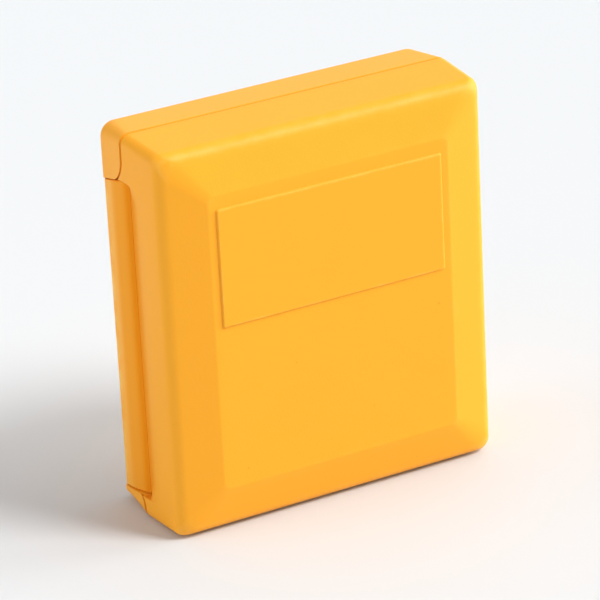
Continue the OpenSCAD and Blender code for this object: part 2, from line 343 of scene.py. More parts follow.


# mask of the rubbed edges and of the painted sheen: the positive wear and painted light value on the mesh,
# broken up by noise
def buildWearAndSheenMask():
    tree, given, sink = newTree("wearAndSheenMask", "Shader", [
        ("Vector", "Vector", None), ("Edge", "Float", 0.0), ("Amount", "Float", 0.5)], [("Mask", "Float")])
    patches = noiseNode(tree, given["Vector"], surfaceForm["patchScale"], 4.0, 0.6, 0.4)
    ramp = newNode(tree, "ShaderNodeMapRange", {
        "Value": patches, "From Min": surfaceForm["patchFrom"], "From Max": surfaceForm["patchTo"]})
    wearAndLight = mathNode(tree, "MULTIPLY", given["Edge"], ramp.outputs[0])
    feed(tree, sink, {"Mask": mathNode(tree, "MULTIPLY", wearAndLight, given["Amount"], clamp=True)})
    return tree


# slow mottling and a few fine specks in the moulded colour
def buildColourDrift():
    tree, given, sink = newTree("colourDrift", "Shader", [
        ("Vector", "Vector", None), ("Colour", "Color", (0.8, 0.4, 0.05, 1.0)), ("Drift", "Float", 0.06),
        ("Specks", "Float", 0.25)], [("Colour", "Color")])
    slow = noiseNode(tree, given["Vector"], surfaceForm["mottleScale"], 3.0, 0.55, 0.2)
    drift = mathNode(tree, "MULTIPLY", mathNode(tree, "SUBTRACT", slow, 0.5), given["Drift"])
    cells = newNode(tree, "ShaderNodeTexVoronoi", {
        "Vector": given["Vector"], "Scale": surfaceForm["speckScale"]})
    dot = mathNode(tree, "LESS_THAN", cells.outputs["Distance"], surfaceForm["speckSize"])
    rare = noiseNode(tree, given["Vector"], surfaceForm["speckSpread"], 1.0)
    kept = mathNode(tree, "MULTIPLY", dot, mathNode(tree, "GREATER_THAN", rare, surfaceForm["speckShare"]))
    speck = mathNode(tree, "MULTIPLY", kept, given["Specks"])
    value = mathNode(tree, "SUBTRACT", mathNode(tree, "ADD", drift, 1.0), speck)
    tone = newNode(tree, "ShaderNodeHueSaturation", {"Color": given["Colour"], "Value": value})
    feed(tree, sink, {"Colour": tone.outputs["Color"]})
    return tree


mouldGrain = buildMouldGrain()
wearAndSheenMask = buildWearAndSheenMask()
colourDrift = buildColourDrift()

amberLook = {
    "colour": (0.955, 0.402, 0.016),
    "paintedShadeColour": (0.85, 0.285, 0.001),
    "wornAndSheenColour": (0.97, 0.56, 0.10),
    "roughness": 0.49,
    "specular": 0.30,
    "grainSize": 2300.0,
    "grainDepth": 0.55,
    "waveDepth": 0.5,
    "bump": 0.34,
    "wearAndPaintedLight": 0.5,
    "drift": 0.05,
    "specks": 0.16,
}
strapLook = {
    "colour": (0.945, 0.40, 0.018),
    "paintedShadeColour": (0.85, 0.285, 0.001),
    "wornAndSheenColour": (0.96, 0.62, 0.12),
    "roughness": 0.47,
    "specular": 0.30,
    "grainSize": 3100.0,
    "grainDepth": 0.4,
    "waveDepth": 0.6,
    "bump": 0.26,
    "wearAndPaintedLight": 0.5,
    "drift": 0.06,
    "specks": 0.1,
}
charcoalLook = {
    "colour": (0.028, 0.028, 0.031),
    "paintedShadeColour": (0.016, 0.016, 0.018),
    "wornAndSheenColour": (0.09, 0.09, 0.095),
    "roughness": 0.5,
    "specular": 0.5,
    "grainSize": 1900.0,
    "grainDepth": 0.8,
    "waveDepth": 0.3,
    "bump": 0.16,
    "wearAndPaintedLight": 0.7,
    "drift": 0.25,
    "specks": 0.0,
}


def mouldedPlastic(name, look):
    material = bpy.data.materials.new(name)
    material.use_nodes = True
    tree = material.node_tree
    where = newNode(tree, "ShaderNodeTexCoord", {}).outputs["Object"]
    edge = newNode(tree, "ShaderNodeAttribute", {}, attribute_name="wearAndPaintedLight").outputs["Fac"]

    def group(kind, inputs):
        return newNode(tree, "ShaderNodeGroup", {"Vector": where, **inputs}, node_tree=kind).outputs

    tint = group(colourDrift, {"Colour": (*look["colour"], 1.0), "Drift": look["drift"],
                               "Specks": look["specks"]})
    rubbedAndSheen = group(wearAndSheenMask, {"Edge": edge, "Amount": look["wearAndPaintedLight"]})["Mask"]
    grain = group(mouldGrain, {"Grain size": look["grainSize"], "Grain depth": look["grainDepth"],
                               "Wave depth": look["waveDepth"]})
    # negative values are painted shade in grooves, seams and crevices: a deeper, darker colour, and rougher
    deep = mathNode(tree, "MULTIPLY", edge, -1.0, clamp=True)
    colour = tint["Colour"]
    for factor, other in ((rubbedAndSheen, look["wornAndSheenColour"]), (deep, look["paintedShadeColour"])):
        colour = newNode(tree, "ShaderNodeMix", {"Factor": factor, "A": colour, "B": (*other, 1.0)},
                         data_type="RGBA").outputs["Result"]
    base = mathNode(tree, "ADD", grain["Gloss shift"], look["roughness"])
    dull = mathNode(tree, "ADD", base, mathNode(tree, "MULTIPLY", deep, surfaceForm["dulling"]))
    polished = mathNode(tree, "MULTIPLY", rubbedAndSheen, surfaceForm["polish"])
    bump = newNode(tree, "ShaderNodeBump", {
        "Strength": look["bump"], "Distance": surfaceForm["bumpDepth"], "Height": grain["Height"]})
    feed(tree, tree.nodes["Principled BSDF"], {
        "Base Color": colour, "Specular IOR Level": look["specular"], "IOR": surfaceForm["ior"],
        "Roughness": mathNode(tree, "SUBTRACT", dull, polished, clamp=True),
        "Normal": bump.outputs["Normal"]})
    return material


finishes = {
    "amber_plastic": mouldedPlastic("amberPlastic", amberLook),
    "amber_strap": mouldedPlastic("amberStrap", strapLook),
    "charcoal_plastic": mouldedPlastic("charcoalPlastic", charcoalLook),
}
print("materials ready")


# puts a finished mesh in the scene as a piece of the case
def shadedPiece(mesh, body, slotName, sharpAngle=62, replaced=()):
    mesh.materials.clear()
    mesh.materials.append(finishes[slotName])
    mesh.shade_smooth()
    mesh.set_sharp_from_angle(angle=math.radians(sharpAngle))
    piece = linked(bpy.data.objects.new(mesh.name, mesh))
    weighted = piece.modifiers.new("even shading", "WEIGHTED_NORMAL")
    weighted.keep_sharp = True
    weighted.weight = 80
    if body:
        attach(piece, body)
    if replaced:
        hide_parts(*replaced)
    return piece


# how far forward the rim of one half lies, where it turns back at the strap's ends
def rimDepth(rim, x, z):
    inner = caseForm["shellRim"]
    if x <= recessForm["reach"] - halfWidth:
        for rise, turn in ((z - recessForm["high"], recessForm["turnHigh"]),
                           (recessForm["low"] - z, recessForm["turnLow"])):
            if -1e-6 <= rise < turn:
                return inner - turn + math.sqrt(max((turn + rim - inner) ** 2 - (turn - rise) ** 2, 0.0))
    return rim


# 1 inside the strap recess, 0 outside, softened over its two ends
def recessShare(z, extra=0.0):
    inside = min(recessForm["high"] - z, z - recessForm["low"])
    return smooth((inside + 0.04) / (recessForm["soften"] + extra))


# 1 below the top of the thick wall beside the strap, 0 above it
def thickShare(z):
    return smooth((recessForm["thickTop"] + 0.14 - z) / 0.28)


# 1 where the rim has its tongue and rebate, 0 on the left side and near it
def steppedShare(stop, x, middle):
    if stop[0] in ("top", "bottom"):
        return smooth((x + middle) / 0.44)
    return 0.0 if x < 0 else 1.0


# the x and z of a stop on the rim ring
def rimPlace(stop):
    p = outlinePoint(stop, (0.0, caseForm["rimCorner"]), 0.0, 0)
    return p.x / mm, p.z / mm


def cornerInside(inset):
    return max(caseForm["rimCorner"] - inset, caseForm["leastCorner"])


coverForm = {
    "run": 11.0,           # width and depth of the bevel
    "drop": 2.8,
    "edge": 3.3,
    "faceEdge": 2.8,
    "cove": 32.0,
    "groove": 2.05,        # inset of the cover's edge beside the strap
    "jog": 19.85,
    "cornerAtEdge": 3.7,   # outer corner radius where the round edge meets the bevel
    "cornerAtFlat": 1.7,
    "notchLength": 16.0,
    "notchDepth": 1.3,
    "evenFrom": 22.0,      # depth from which the wall no longer follows the rim
    "wallCuts": (24.5, 22.0, 19.6, 18.2, 17.3, 16.5, 15.8, 15.2, 14.7, 14.4, 14.22),
    "edgeWear": {"corner": 0.9, "left": 0.05, "right": 0.55, "top": 0.55, "bottom": 0.55},
    "steppedFrom": 36.62,
}
# (inset, height over the rim) round the cover's rim and up inside it
coverRimPath = {
    "stepped": [(0.10, 0.10), (0.32, 0.0), (0.85, 0.0), (0.98, 0.1), (1.0, 0.3), (1.0, 0.8), (1.0, 1.46),
                (1.04, 1.5), (2.22, 1.5), (2.27, 1.56), (2.29, 2.0)],
    "plain": [(0.32, 0.26), (0.72, 0.0), (1.2, 0.0), (1.9, 0.0), (2.12, 0.06), (2.2, 0.2), (2.22, 0.6),
              (2.23, 0.9), (2.25, 1.2), (2.27, 1.56), (2.29, 2.0)],
    "recess": [(2.12, 0.1), (2.3, 0.0), (2.9, 0.0), (3.9, 0.0), (4.1, 0.05), (4.2, 0.2), (4.2, 0.7),
               (4.2, 1.0), (4.2, 1.3), (4.2, 1.6), (4.2, 2.0)],
}


# (inset, depth) points down the cover's wall, round its edge, along the bevel to the flat
def bevelSection(inset):
    run, drop, edge, face = (coverForm[k] for k in ("run", "drop", "edge", "faceEdge"))
    lean = math.atan2(run, drop)
    run -= inset * (1 - math.cos(lean) / (1 + math.sin(lean)))
    drop += inset * (math.tan(lean / 2) - 1)
    edge, face = edge - inset, max(face - inset, 0.4)
    wallLean = math.atan(caseForm["coverLean"])
    front = caseForm["coverFace"] - inset
    edgeU = front - drop
    edgeE = inset + caseForm["coverLean"] * (edgeU - caseForm["coverRim"])
    edgeT = edge * math.tan((lean - wallLean) / 2)
    startE, startU = edgeE - edgeT * math.sin(wallLean), edgeU - edgeT * math.cos(wallLean)
    midE, midU = startE + edge * math.cos(wallLean), startU - edge * math.sin(wallLean)
    around = [(midE - edge * math.cos(a), midU + edge * math.sin(a)) for a in spread(wallLean, lean, 8)]
    bevel = [(edgeE + run * t, edgeU + drop * t) for t in (0.3, 0.55, 0.8)]
    flatE = edgeE + run + face * math.tan((rightAngle - lean) / 2)
    corner = [(flatE - face * math.sin(b), front - face + face * math.cos(b))
              for b in spread(rightAngle - lean, 0, 5)]
    return around, bevel, corner


# inset of the cover's outer wall, and of the two teeth that reach behind the rim
def coverOutside(u):
    if u < caseForm["shellRim"]:
        return caseForm["shellLean"] * (caseForm["shellRim"] - u)
    return max(0.0, caseForm["coverLean"] * (u - caseForm["coverRim"]))


# the broad curve from the groove beside the strap up to the cover's wall
def coveInset(u):
    r = coverForm["cove"]
    middle = caseForm["coverRim"] + math.sqrt(r * r - (r - coverForm["groove"]) ** 2)
    return 0.0 if u >= middle else r - math.sqrt(r * r - (middle - u) ** 2)


# extra softness at the two ends of the cove, away from the rim
def coveEnd(u):
    return 1.5 * smooth((u - 14.6) / 4)


# how far the nail notch lifts the lip on the right side
def notchRise(stop):
    half, deep = coverForm["notchLength"] / 2, coverForm["notchDepth"]
    off = abs(stop[1] - caseForm["height"] / 2)
    if stop[0] != "right" or off >= half:
        return 0.0
    r = (half * half + deep * deep) / (2 * deep)
    return deep - r + math.sqrt(r * r - off * off)


def coverRings(stops):
    f, wall, rim, lean = coverForm, caseForm["wall"], caseForm["coverRim"], caseForm["coverLean"]
    around, bevel, flat = bevelSection(0.0)
    aroundIn, bevelIn, flatIn = bevelSection(wall)
    rings = []

    # the flat face, its soft edge, the bevel and the round edge, from the middle outwards
    def outer(e, u, r, wearAndPaintedLight):
        rings.append(ringOf(stops, lambda stop: ((e, r), e, u, wearAndPaintedLight * f["edgeWear"][stop[0]])))

    edgeE, flatE = around[-1][0], flat[-1][0]
    for e in (caseForm["middle"], flatE + 5.0, flatE + 1.2):
        outer(e, caseForm["coverFace"], f["cornerAtFlat"], 0.0)
    for e, u in reversed(flat):
        outer(e, u, f["cornerAtFlat"], 0.22)
    for e, u in reversed(bevel):
        outer(e, u, between(f["cornerAtEdge"], f["cornerAtFlat"], (e - edgeE) / (flatE - edgeE)), 0.0)
    for i, (e, u) in enumerate(reversed(around)):
        part = i / (len(around) - 1)
        r = between(f["cornerAtEdge"], caseForm["rimCorner"], part)
        outer(e, u, r, 1.0 - 1.6 * abs(part - 0.45))

    # the wall, down to the rim
    for base in f["wallCuts"]:
        def wallAt(stop):
            x, z = rimPlace(stop)
            start = rimDepth(rim, x, z) + notchRise(stop)
            even, nominal, wearAndPaintedLight = f["evenFrom"], lean * (base - rim), 0.0
            u = base if base > even else start + (base - rim) * (even - start) / (even - rim)
            e = coverOutside(u)
            if stop[0] == "left":
                share = recessShare(z, coveEnd(base))
                e = between(e, max(coveInset(base), nominal), share)
                u = between(u, base, recessShare(z))
                # painted shade on the cove beside the strap, darkest at the groove
                wearAndPaintedLight = -smooth((21.5 - base) / 7) * min(1.0, share + 2.5 * share * (1 - share))
            return (nominal, caseForm["rimCorner"]), e, u, wearAndPaintedLight

        rings.append(ringOf(stops, wallAt))

    # round the rim and up inside it
    for k, (stepped, plain, recessed) in enumerate(zip(*coverRimPath.values())):
        def rimAt(stop):
            x, z = rimPlace(stop)
            start = rimDepth(rim, x, z)
            base, up = mix(plain, stepped, steppedShare(stop, x, f["steppedFrom"]))
            e, u = base, start + up
            if k <= 5:
                u += notchRise(stop) * (1.0 if k <= 4 else 0.5)
            if start < rim:
                e += coverOutside(start) * (1 - min(k, 5) / 5)
            if stop[0] == "left":
                e, u = mix((e, u), (recessed[0], rim + recessed[1]), recessShare(z))
            # painted shade along the parting line and inside the rim
            wearAndPaintedLight = (-0.85 if stop[0] == "left" else -0.35) if k < 1 else -1.0
            return (base, cornerInside(base)), e, u, wearAndPaintedLight

        rings.append(ringOf(stops, rimAt))

    # the hollow
    def inner(e, u, r, recessed=None):
        def innerAt(stop):
            own = (e, u)
            if stop[0] == "left" and recessed:
                own = mix(own, recessed, recessShare(rimPlace(stop)[1]))
            return (e, r), *own, 0.0

        rings.append(ringOf(stops, innerAt))

    jog = f["jog"]
    for u, recessed in ((17.2, (4.2, 17.2)), (19.3, (4.2, jog - 0.35)), (19.6, (4.1, jog - 0.08)),
                        (19.8, (3.9, jog)), (20.05, (wall + lean * 6 + 0.25, jog)),
                        (20.4, (wall + lean * 6.4, jog + 0.25)), (21.4, None)):
        r = caseForm["leastCorner"] + 1.4 * (u - rim) / (aroundIn[0][1] - rim)
        inner(wall + lean * (u - rim), u, r, recessed)
    for i, (e, u) in enumerate(aroundIn):
        inner(e, u, 1.7 + 0.2 * i / 8)
    for e, u in bevelIn:
        inner(e, u, 1.9 - 1.2 * (e - aroundIn[-1][0]) / (flatIn[0][0] - aroundIn[-1][0]))
    ceiling = flatIn[-1][1]
    for e, u in flatIn + [(flatIn[-1][0] + 1.0, ceiling), (caseForm["middle"], ceiling)]:
        inner(e, u, 0.6)
    return rings


coverRingsNow = coverRings(outlineStops(caseForm["coverRim"] - caseForm["shellRim"]))
coverMesh = sweptEnds(loftedMesh("front_cover_moulding", coverRingsNow))
shadedPiece(coverMesh, "front_cover", "amber_plastic", replaced=("front_cover",))
print("cover:", len(coverMesh.polygons), "faces")


shellForm = {
    "backEdge": 2.8,
    "cornerAtBack": 3.7,   # outer corner radius where the wall meets the round back edge
    "flatCorner": 1.2,
    "wallCuts": (3.6, 5.5, 8.0, 10.0, 11.6, 12.5, 13.0, 13.2),
    "insideCuts": (12.4, 9.5, 6.5, 4.2),
    "beadX": 21.4,
    "beadHalf": 7.6,
    "beadRise": {5: 0.09, 6: 0.15, 7: 0.09},
    "steppedFrom": 36.42,
    # what the round back edge becomes beside the strap, from its sixth ring on
    "hingeEdge": {5: (2.05, 0.56), 6: (1.92, 0.60), 7: (1.868, 0.70), 8: (1.868, 1.05), 9: (2.15, 1.3),
                  10: (2.34, 1.42)},
}
# (inset, height over the rim) over the shell's rim and down inside it
shellRimPath = {
    "tongue": [(0.10, -0.10), (0.32, 0.0), (1.2, 0.0), (1.25, 0.05), (1.25, 0.45), (1.25, 0.62), (1.25, 0.8),
               (1.25, 0.98), (1.25, 1.15), (1.29, 1.5), (1.4, 1.6), (2.05, 1.6), (2.18, 1.5), (2.2, 1.3),
               (2.2, 0.1), (2.22, -0.3)],
    "plain": [(0.32, -0.26), (0.72, 0.0),
              *((e, 0.0) for e in (0.8, 0.9, 1.0, 1.1, 1.2, 1.3, 1.4, 1.5, 1.65, 1.8, 2.0)),
              (2.12, -0.05), (2.2, -0.15), (2.22, -0.4)],
    "thick": [(0.32, -0.26), (0.72, 0.0), (1.4, 0.0), (2.4, 0.0), (2.5, 0.03), (2.56, 0.06), (2.6, 0.3),
              (2.6, 0.6), (2.62, 0.94), (2.72, 1.0), (2.9, 1.0), (3.4, 1.0), (3.95, 1.0), (4.12, 0.95),
              (4.2, 0.85), (4.2, 0.4)],
    "recess": [(2.46, -0.06), (2.6, 0.0),
               *((e, 0.0) for e in (2.75, 2.9, 3.05, 3.15, 3.25, 3.35, 3.45, 3.55, 3.65, 3.8, 3.95)),
               (4.12, -0.05), (4.2, -0.15), (4.2, -0.4)],
}


# (inset, depth) points round the back edge, from the flat back to the leaning wall
def panSection(inset):
    lean = math.atan(caseForm["shellLean"])
    r = shellForm["backEdge"] - inset
    flat = inset + caseForm["shellLean"] * (caseForm["shellRim"] - inset)
    middle = (flat + r * math.tan((rightAngle - lean) / 2), inset + r)
    return [(middle[0] - r * math.sin(a), middle[1] - r * math.cos(a))
            for a in spread(0, rightAngle - lean, 10)]


def shellRings(stops):
    f, wall, rim, lean = shellForm, caseForm["wall"], caseForm["shellRim"], caseForm["shellLean"]
    around = panSection(0.0)
    wallStart = around[-1][1]
    rings = []

    # flat back and the round back edge, which stops at the hinge line along the recess
    for e in (caseForm["middle"], 12.0, around[0][0] + 0.8):
        rings.append(ringOf(stops, lambda stop: ((e, f["flatCorner"]), e, 0.0, 0.0)))
    for i, (e, u) in enumerate(around):
        def backAt(stop):
            own = (e, u)
            if stop[0] == "left" and i in f["hingeEdge"]:
                own = mix(own, f["hingeEdge"][i], recessShare(rimPlace(stop)[1]))
            wearAndPaintedLight = (0.9 if stop[0] == "corner" else 0.5) * math.sin(math.pi * i / 10)
            return (e, max(f["cornerAtBack"] - (e - around[-1][0]), 1.0)), *own, wearAndPaintedLight

        rings.append(ringOf(stops, backAt))

    # the outer wall up to the rim
    for base in f["wallCuts"]:
        def wallAt(stop):
            x, z = rimPlace(stop)
            end = rimDepth(rim, x, z)
            u = wallStart + (base - wallStart) * (end - wallStart) / (rim - wallStart)
            e, share = lean * (rim - u), 0.0
            if stop[0] == "left":
                share = recessShare(z)
                e, u = mix((e, u), (recessForm["floor"], base), share)
            r = between(caseForm["rimCorner"], f["cornerAtBack"], (rim - base) / (rim - wallStart))
            # painted shade in the crevice at the upper end of the strap recess
            wearAndPaintedLight = -3.6 * share * (1 - share) if z > caseForm["height"] / 2 else 0.0
            return (lean * (rim - base), r), e, u, wearAndPaintedLight

        rings.append(ringOf(stops, wallAt))

    # the rim and its tongue, with a thicker wall low on the left side
    for k, (tongue, plain, thickened, recessed) in enumerate(zip(*shellRimPath.values())):
        def rimAt(stop):
            x, z = rimPlace(stop)
            start = rimDepth(rim, x, z)
            share = steppedShare(stop, x, f["steppedFrom"])
            base, up = mix(plain, tongue, share)
            e, u = base, (rim if k > 2 or share > 0 else start) + up
            if stop[0] in ("top", "bottom") and k in f["beadRise"]:
                e -= f["beadRise"][k] * smooth((f["beadHalf"] - abs(x - f["beadX"])) / 0.8) * share
            thick = thickShare(z) if stop[0] == "left" else float(lowLeftCorner(stop))
            turned = start < rim and x < recessForm["reach"] - halfWidth
            if turned and thick < 1:
                e, u = plain[0], start + plain[1]
            if thick or turned:
                if k <= 4:
                    low = start + thickened[1]
                elif k < 13:
                    low = start + 0.06 + (rim - start - 0.06) * thickened[1]
                else:
                    low = rim + thickened[1] - 1.0
                e, u = mix((e, u), (thickened[0], low), thick)
            if k <= 2:
                e += lean * (rim - start) * (1 - share)
            if stop[0] == "left":
                e, u = mix((e, u), (recessed[0], rim + recessed[1]), recessShare(z))
            # painted shade along the parting line, over the rim face up to the tongue's foot; the tongue's
            # top edges are rubbed
            if k < 1:
                wearAndPaintedLight = -0.85 if stop[0] == "left" else -0.35
            else:
                wearAndPaintedLight = -1.0 if k < 4 else 0.4 if 9 <= k <= 11 else 0.1
            left = thickened[0] if k >= 3 and (stop[0] == "bottom" or lowLeftCorner(stop)) else None
            return (base, cornerInside(base)), base if stop[0] == "corner" else e, u, left, wearAndPaintedLight

        rings.append(ringOf(stops, rimAt))

    # the tray's inside and its floor
    path = [(wall + lean * (rim - u), u) for u in f["insideCuts"]] + list(reversed(panSection(wall)))
    for i, (e, u) in enumerate(path):
        deep = max(0, i - 4) / (len(path) - 5)
        thickE = recessForm["thickWall"] + 0.6 * (1 - math.cos(rightAngle * deep))

        def insideAt(stop):
            own = between(e, thickE, thickShare(rimPlace(stop)[1])) if stop[0] == "left" else e
            left = thickE if stop[0] == "bottom" or lowLeftCorner(stop) else None
            return (e, 0.3 + 0.7 * min(i, 4) / 4), own, u, left, 0.0

        rings.append(ringOf(stops, insideAt))
    for e in (7.0, caseForm["middle"]):
        rings.append(ringOf(stops, lambda stop: ((e, 1.0), e, wall, 0.0)))
    return rings


shellMesh = sweptEnds(loftedMesh("back_shell_moulding", shellRings(outlineStops(0.0))))
shadedPiece(shellMesh, "back_shell", "amber_plastic", replaced=("back_shell",))
print("shell:", len(shellMesh.polygons), "faces")


panelForm = {
    "halfWidth": 29.2,
    "low": 52.0,
    "high": 81.0,
    "face": 33.0,
    "flat": 32.5,
    "corner": 0.55,
    "foot": 0.15,          # width of the small hollow where the panel rises from the face
    "edge": 0.44,
}


def roundedLoop(wide, high, r, steps=6):
    loop = []
    for turn, (sx, sz) in enumerate(((1, 1), (-1, 1), (-1, -1), (1, -1))):
        for i in range(steps + 1):
            a = rightAngle * (turn + i / steps)
            loop.append((sx * (wide - r) + r * math.cos(a), sz * (high - r) + r * math.sin(a)))
    return loop


def buildPanel():
    f = panelForm
    middleZ, halfHeight = (f["low"] + f["high"]) / 2, (f["high"] - f["low"]) / 2
    rise = f["face"] - f["flat"]
    path = [(0.3, -0.35), (0.3, -0.02)]
    path += [(f["foot"] * (1 - math.sin(a)), f["foot"] * (1 - math.cos(a)) * 0.8)
             for a in spread(0.15, 1.35, 4)]
    path += [(-f["edge"] * (1 - math.cos(a)) - 0.01, rise - f["edge"] * (1 - math.sin(a)))
             for a in spread(0.1, 1.5, 5)]
    path += [(-0.8, rise), (-3.0, rise)]
    rings = []
    for grow, up in path:
        loop = roundedLoop(f["halfWidth"] + grow, halfHeight + grow, max(f["corner"] + grow, 0.1))
        wearAndLight = 0.7 if abs(up - rise) < 0.1 and grow > -0.5 else 0.0
        rings.append(([point(x, f["flat"] + up, middleZ + z) for x, z in loop], [wearAndLight] * len(loop)))
    return loftedMesh("label_panel", rings)


shadedPiece(buildPanel(), "front_cover", "amber_plastic")


strapForm = {
    "low": 5.35,
    "high": 84.25,
    "endRound": 0.3,
    "endShrink": 0.24,
    "sink": 0.25,
    "flatFrom": 6.65,      # depth at which the side leaves its round back edge
    "backLine": (1.868, 1.068),
    "frontLine": (2.05, 13.85),
    # (inset over the flat side, depth) points of the shoulder that dips into the groove
    "shoulder": ((0.0, 6.65), (0.05, 8.0), (0.15, 9.5), (0.28, 11.0), (0.37, 11.9), (0.46, 12.35),
                 (0.62, 12.7), (0.84, 12.97), (1.04, 13.2)),
}


# the strap from above: round over the back edge, bowed along the side, in to the groove
def strapOutline():
    f = strapForm
    middleE, middleU = panSection(0.0)[0][0], shellForm["backEdge"]
    flatE = caseForm["shellLean"] * (caseForm["shellRim"] - f["flatFrom"]) + f["sink"]
    r = shellForm["backEdge"] - f["sink"]
    start = math.asin((shellForm["backEdge"] - f["backLine"][1] - 0.05) / r)
    outside = [(middleE - r * math.cos(a), middleU - r * math.sin(a)) for a in spread(start, 0.05, 9)]
    outside += [(flatE + e, u) for e, u in f["shoulder"]]
    endE, endU = f["frontLine"][0] - 0.27, caseForm["coverRim"] - 0.42
    tip = [(endE + 0.02, endU + 0.04), (endE + 0.12, endU + 0.08), (endE + 0.3, endU + 0.02),
           (2.18, endU - 0.1), (2.22, endU - 0.3)]
    inside = [(2.2, u) for u in spread(12.6, 3.0, 8)]
    return outside + tip + inside + [(2.16, 2.3), (2.1, 1.8), (2.0, 1.45), (1.86, 1.2), (1.68, 1.08)]


# painted sheen on the back edge, pale; painted shade along the side and in the groove, deeper in colour
def strapPaintedLight(e, u):
    if e >= 2.15:
        return 0.0
    paintedSheen = 1.2 * (1 - smooth((u - 4.0) / 2.2))
    return paintedSheen - 0.55 * smooth((u - 5.6) / 1.8) - 0.45 * smooth((u - 10.4) / 2.2)


def buildStrap():
    f, outline, rings = strapForm, strapOutline(), []

    def ring(z, shrink, wearAndPaintedLight):
        points = []
        for i, (e, u) in enumerate(outline):
            before, after = outline[i - 1], outline[(i + 1) % len(outline)]
            te, tu = after[0] - before[0], after[1] - before[1]
            length = math.hypot(te, tu) or 1.0
            points.append(place(e + tu / length * shrink * 0.9, u - te / length * shrink, z))
        rings.append((points, [strapPaintedLight(e, u) + wearAndPaintedLight for e, u in outline]))

    ends = [(f["low"] + f["endRound"] * (1 - math.cos(a)), f["endShrink"] * (1 - math.sin(a)))
            for a in spread(0, rightAngle, 5)]
    for z, shrink in ends:
        ring(z, shrink, 0.0)
    for z in spread(f["low"] + 3, f["high"] - 3, 12):
        ring(z, 0.0, 0.0)
    for z, shrink in reversed(ends):
        # painted shade at the strap's upper end, under the shell's edge
        ring(f["low"] + f["high"] - z, shrink, -3.5 * shrink)
    return sweptEnds(loftedMesh("hinge_strap_moulding", rings))


shadedPiece(buildStrap(), "hinge_strap", "amber_strap", replaced=("hinge_strap",))


filmForm = {
    "margin": 0.35,        # how far the films end inside the strap's ends
    "backThickness": 0.26,
    "frontThickness": 0.2,
    "backAcross": ((2.25, 0.72), (2.1, 0.80), (1.99, 0.89), (1.91, 0.99), (1.86, 1.08), (1.80, 1.18),
                   (1.78, 1.30), (1.78, 1.5)),
    "frontAcross": ((1.98, 13.1), (2.0, 13.35), (2.03, 13.55), (2.05, 13.7), (2.06, 13.85), (2.11, 14.0),
                    (2.18, 14.15), (2.34, 14.3)),
}


# a thin strip through the points across, in (inset, depth), from one end of the strap to the other
def buildFilm(name, across, thickness):
    upper, lower = [], []
    for i, (e, u) in enumerate(across):
        before, after = across[max(i - 1, 0)], across[min(i + 1, len(across) - 1)]
        te, tu = after[0] - before[0], after[1] - before[1]
        half = thickness / 2 / math.hypot(te, tu)
        upper.append((e - tu * half, u + te * half))
        lower.append((e + tu * half, u - te * half))
    outline = upper + list(reversed(lower))
    heights = spread(strapForm["low"] + filmForm["margin"], strapForm["high"] - filmForm["margin"], 10)
    # painted shade all along the fold lines in the groove
    rings = [([place(e, u, z) for e, u in outline], [-0.9] * len(outline)) for z in heights]
    return shadedPiece(sweptEnds(loftedMesh(name, rings)), None, "amber_strap")


backFilm = buildFilm("back_fold_film", filmForm["backAcross"], filmForm["backThickness"])
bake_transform(backFilm)
frontFilm = buildFilm("front_fold_film", filmForm["frontAcross"], filmForm["frontThickness"])
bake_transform(frontFilm)
print("strap and folding lines ready")


railForm = {
    "clips": 6,
    "pitch": 12.6,
    "midRadius": 5.15,
    "clipThickness": 1.3,
    "clipSteps": 44,
    "clipRound": 0.3,
    "width": 6.0,
    "barThickness": 2.2,
    "barRound": 0.35,
    "length": 75.6,
    "mouth": 51.0,         # half angle of a clip's mouth, in degrees
    "thinnest": 0.42,      # what is left of the thickness at the lips
    "lipTurn": 0.42,       # angle in radians over which a lip thins
    "flare": 0.55,
    "wornEdge": 0.6,       # width of the rubbed strip along both sides
    "barrelHeight": 9.4,
    "barDrop": 6.1,        # from a clip's middle back to the middle of the bar
    "heights": {"lower": 24.0, "upper": 68.0},
    "middleX": 1.0,
}


